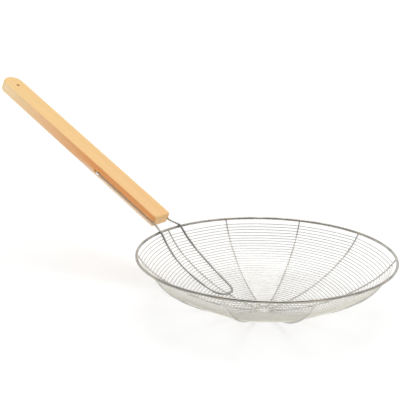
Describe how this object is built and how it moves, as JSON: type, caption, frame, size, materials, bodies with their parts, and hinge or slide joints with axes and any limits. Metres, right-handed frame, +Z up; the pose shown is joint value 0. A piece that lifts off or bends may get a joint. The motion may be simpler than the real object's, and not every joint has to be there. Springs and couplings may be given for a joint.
{
  "type": "spider skimmer",
  "caption": "Round wire skimmer: shallow bowl of wound fine wire on radial ribs, joined by a hairpin wire loop to a rising bamboo bar handle with a hang hole.",
  "frame": {"origin": "centre of the bowl's rim circle, in the plane of the rim wire's centre line", "axes": "+Z up out of the bowl's mouth, +X from the bowl towards the handle's far end, +Y to the left of the handle"},
  "size_m": [0.6011, 0.3032, 0.2303],
  "materials": {
    "bamboo": "lightly polished bamboo",
    "nail_steel": "bright",
    "loop_steel": "drawn steel wire",
    "rim_steel": "drawn steel wire",
    "rib_steel": "drawn steel wire",
    "mesh_steel": "fine drawn steel wire"
  },
  "bodies": {
    "root": {"handle": "bamboo", "nail_left": "nail_steel", "nail_right": "nail_steel", "handle_loop": "loop_steel", "rim_ring": "rim_steel", "mesh_wire": "mesh_steel", "rib_01": "rib_steel", "rib_02": "rib_steel", "rib_03": "rib_steel", "rib_04": "rib_steel", "rib_05": "rib_steel", "rib_06": "rib_steel", "rib_07": "rib_steel", "rib_08": "rib_steel", "rib_09": "rib_steel", "rib_10": "rib_steel"}
  },
  "joints": []
}
